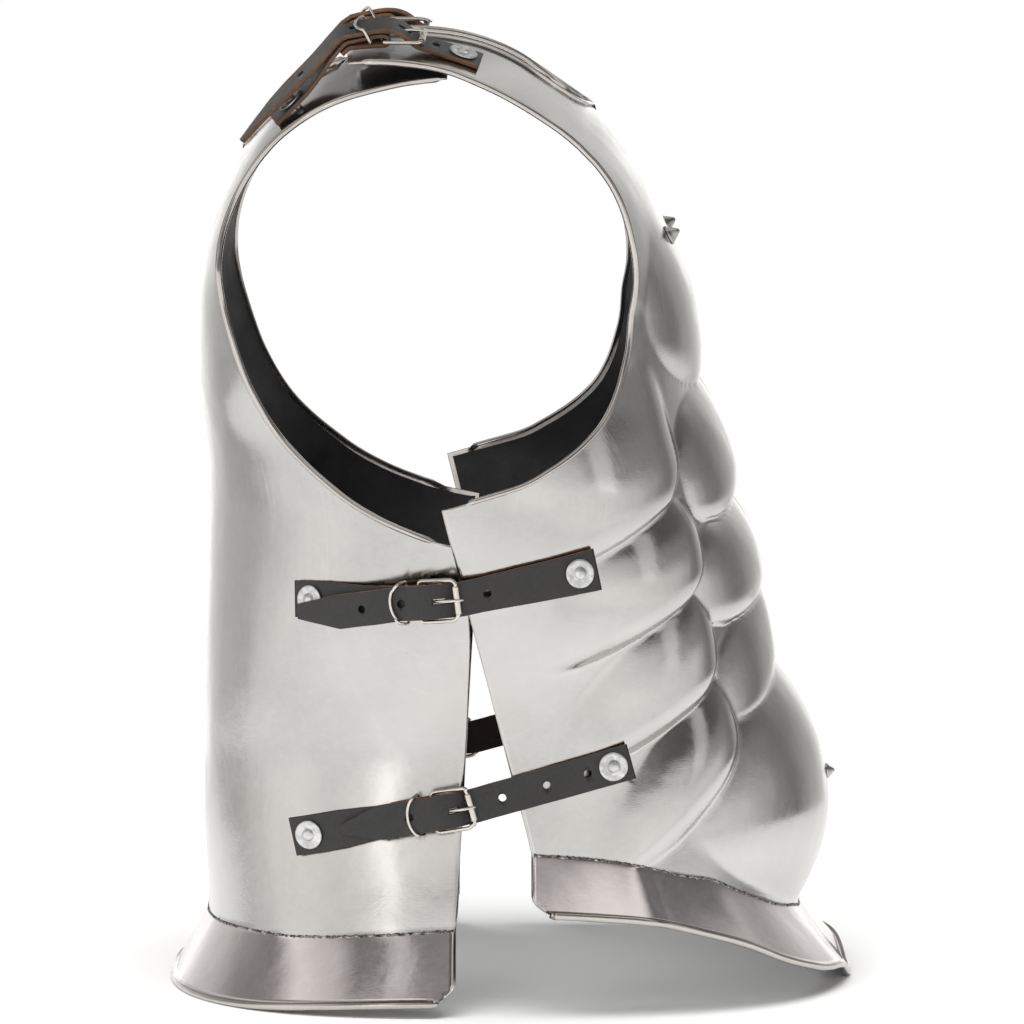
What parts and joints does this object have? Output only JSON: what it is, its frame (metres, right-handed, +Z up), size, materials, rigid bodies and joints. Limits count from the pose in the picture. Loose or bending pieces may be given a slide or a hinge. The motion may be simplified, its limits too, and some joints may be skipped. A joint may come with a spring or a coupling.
{
  "type": "muscle cuirass",
  "caption": "Steel torso armour: embossed breast plate and plain back plate joined by buckled leather straps, with open neck, armholes and waist.",
  "frame": {"origin": "centre of the bounding box in plan, on the plane that both hems stand on", "axes": "+Z up, the breast plate faces -Y, the wearer's left is +X"},
  "size_m": [0.376, 0.3664, 0.517],
  "materials": {
    "plate_steel": "satin polished bare steel outside, near-black paint inside",
    "strap_leather": "black dyed top, brown cut edges and flesh side",
    "buckle_nickel": "warm nickel plate",
    "washer_zinc": "mottled zinc coat on washer and rivet",
    "stud_metal": "bare bright steel cone"
  },
  "bodies": {
    "root": {"side_upper_left_strap": "strap_leather", "side_upper_left_buckle_strap": "strap_leather", "side_upper_left_buckle_frame": "buckle_nickel", "side_upper_left_roller": "buckle_nickel", "side_upper_left_prong": "buckle_nickel", "side_upper_left_keeper": "buckle_nickel", "side_upper_left_front_rivet": "washer_zinc", "side_upper_left_back_rivet": "washer_zinc", "side_upper_right_strap": "strap_leather", "side_upper_right_buckle_strap": "strap_leather", "side_upper_right_buckle_frame": "buckle_nickel", "side_upper_right_roller": "buckle_nickel", "side_upper_right_prong": "buckle_nickel", "side_upper_right_keeper": "buckle_nickel", "side_upper_right_front_rivet": "washer_zinc", "side_upper_right_back_rivet": "washer_zinc", "side_lower_left_strap": "strap_leather", "side_lower_left_buckle_strap": "strap_leather", "side_lower_left_buckle_frame": "buckle_nickel", "side_lower_left_roller": "buckle_nickel", "side_lower_left_prong": "buckle_nickel", "side_lower_left_keeper": "buckle_nickel", "side_lower_left_front_rivet": "washer_zinc", "side_lower_left_back_rivet": "washer_zinc", "side_lower_right_strap": "strap_leather", "side_lower_right_buckle_strap": "strap_leather", "side_lower_right_buckle_frame": "buckle_nickel", "side_lower_right_roller": "buckle_nickel", "side_lower_right_prong": "buckle_nickel", "side_lower_right_keeper": "buckle_nickel", "side_lower_right_front_rivet": "washer_zinc", "side_lower_right_back_rivet": "washer_zinc", "shoulder_left_strap": "strap_leather", "shoulder_left_buckle_strap": "strap_leather", "shoulder_left_buckle_frame": "buckle_nickel", "shoulder_left_roller": "buckle_nickel", "shoulder_left_prong": "buckle_nickel", "shoulder_left_keeper": "buckle_nickel", "shoulder_left_front_rivet": "washer_zinc", "shoulder_left_back_rivet": "washer_zinc", "shoulder_right_strap": "strap_leather", "shoulder_right_buckle_strap": "strap_leather", "shoulder_right_buckle_frame": "buckle_nickel", "shoulder_right_roller": "buckle_nickel", "shoulder_right_prong": "buckle_nickel", "shoulder_right_keeper": "buckle_nickel", "shoulder_right_front_rivet": "washer_zinc", "shoulder_right_back_rivet": "washer_zinc", "breast_plate": "plate_steel", "back_plate": "plate_steel", "nipple_stud_left": "stud_metal", "nipple_stud_right": "stud_metal", "navel_stud": "stud_metal"}
  },
  "joints": []
}
